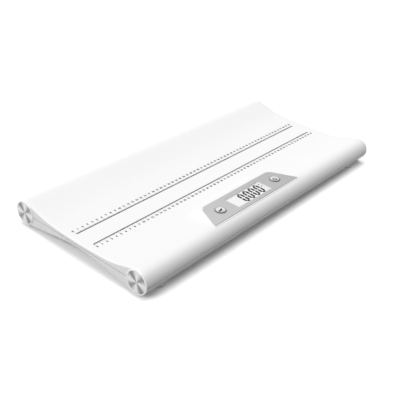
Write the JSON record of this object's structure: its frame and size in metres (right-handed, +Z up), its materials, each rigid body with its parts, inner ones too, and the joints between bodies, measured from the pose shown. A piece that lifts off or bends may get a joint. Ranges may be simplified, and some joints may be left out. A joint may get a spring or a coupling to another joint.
{
  "type": "digital baby weighing scale",
  "caption": "White digital baby scale with a long dished tray between two rolls, a printed ruler, a grey console with a display and round buttons, and spun-metal ends.",
  "frame": {"origin": "on the floor, under the middle of the tray", "axes": "+X along the tray to the right of a user at the console, +Y away from that user across the tray, +Z up"},
  "size_m": [0.642, 0.296, 0.0478],
  "materials": {
    "shell_white": "white, faint satin sheen",
    "cap_white": "white, faint satin sheen",
    "spun_metal": "spun in fine circles",
    "fascia_grey": "light grey, satin",
    "lens_clear": "clear",
    "lcd": "pale display with dark segments",
    "frame_black": "black",
    "backlight_white": "milky",
    "zebra_rubber": "fine stripes",
    "board_green": "green solder mask",
    "chip_black": "black",
    "socket_white": "off-white",
    "screw_steel": "zinc plated",
    "clamp_white": "off-white",
    "cell_steel": "rolled sheet",
    "lead_grey": "grey jacket",
    "lead_red": "red jacket",
    "pad_rubber": "grey, matt",
    "dome_silicone": "translucent grey",
    "pill_carbon": "black, matt",
    "battery_skin": "printed sleeve with metal ends",
    "contact_nickel": "nickel plated"
  },
  "bodies": {
    "base": {"upper_shell": "shell_white", "lower_shell": "shell_white", "console_panel": "fascia_grey", "display_lens": "lens_clear", "lcd_glass": "lcd", "lcd_frame": "frame_black", "backlight_panel": "backlight_white", "zebra_connector": "zebra_rubber", "main_board": "board_green", "control_chip": "chip_black", "lead_sockets": "socket_white", "board_screws": "screw_steel", "case_screws": "screw_steel", "clamp_screws": "screw_steel", "cell_clamps": "clamp_white", "batteries": "battery_skin", "battery_plates": "contact_nickel", "battery_springs": "contact_nickel", "battery_leads": "lead_red", "key_dome_left": "dome_silicone", "key_dome_right": "dome_silicone", "load_cell_front_left": "cell_steel", "cell_lead_front_left": "lead_grey", "end_cap_front_left": "cap_white", "end_disc_front_left": "spun_metal", "load_cell_front_right": "cell_steel", "cell_lead_front_right": "lead_grey", "end_cap_front_right": "cap_white", "end_disc_front_right": "spun_metal", "load_cell_back_left": "cell_steel", "cell_lead_back_left": "lead_grey", "end_cap_back_left": "cap_white", "end_disc_back_left": "spun_metal", "load_cell_back_right": "cell_steel", "cell_lead_back_right": "lead_grey", "end_cap_back_right": "cap_white", "end_disc_back_right": "spun_metal"},
    "button_left": {"button_left": "spun_metal", "key_pill_left": "pill_carbon"},
    "button_right": {"button_right": "spun_metal", "key_pill_right": "pill_carbon"},
    "foot_front_left": {"foot_cup_front_left": "cap_white", "foot_pad_front_left": "pad_rubber"},
    "foot_front_right": {"foot_cup_front_right": "cap_white", "foot_pad_front_right": "pad_rubber"},
    "foot_back_left": {"foot_cup_back_left": "cap_white", "foot_pad_back_left": "pad_rubber"},
    "foot_back_right": {"foot_cup_back_right": "cap_white", "foot_pad_back_right": "pad_rubber"},
    "battery_door": {"battery_door": "shell_white"}
  },
  "joints": [
    {"name": "button_left_press", "type": "slide", "parent": "base", "child": "button_left", "axis": [0, 0, -1], "range_m": [0, 0.001], "stiffness_N_per_m": 2000, "deforming": ["key_dome_left"]},
    {"name": "button_right_press", "type": "slide", "parent": "base", "child": "button_right", "axis": [0, 0, -1], "range_m": [0, 0.001], "stiffness_N_per_m": 2000, "deforming": ["key_dome_right"]},
    {"name": "foot_front_left_give", "type": "slide", "parent": "base", "child": "foot_front_left", "axis": [0, 0, 1], "range_m": [0, 0.0005], "stiffness_N_per_m": 1750, "deforming": ["load_cell_front_left"]},
    {"name": "foot_front_right_give", "type": "slide", "parent": "base", "child": "foot_front_right", "axis": [0, 0, 1], "range_m": [0, 0.0005], "stiffness_N_per_m": 1750, "deforming": ["load_cell_front_right"]},
    {"name": "foot_back_left_give", "type": "slide", "parent": "base", "child": "foot_back_left", "axis": [0, 0, 1], "range_m": [0, 0.0005], "stiffness_N_per_m": 1750, "deforming": ["load_cell_back_left"]},
    {"name": "foot_back_right_give", "type": "slide", "parent": "base", "child": "foot_back_right", "axis": [0, 0, 1], "range_m": [0, 0.0005], "stiffness_N_per_m": 1750, "deforming": ["load_cell_back_right"]},
    {"name": "battery_door_hinge", "type": "hinge", "parent": "base", "child": "battery_door", "pos_m": [-0.033, -0.08062, 0.01332], "axis": [1, 0, 0], "range_deg": [0, 75]}
  ]
}
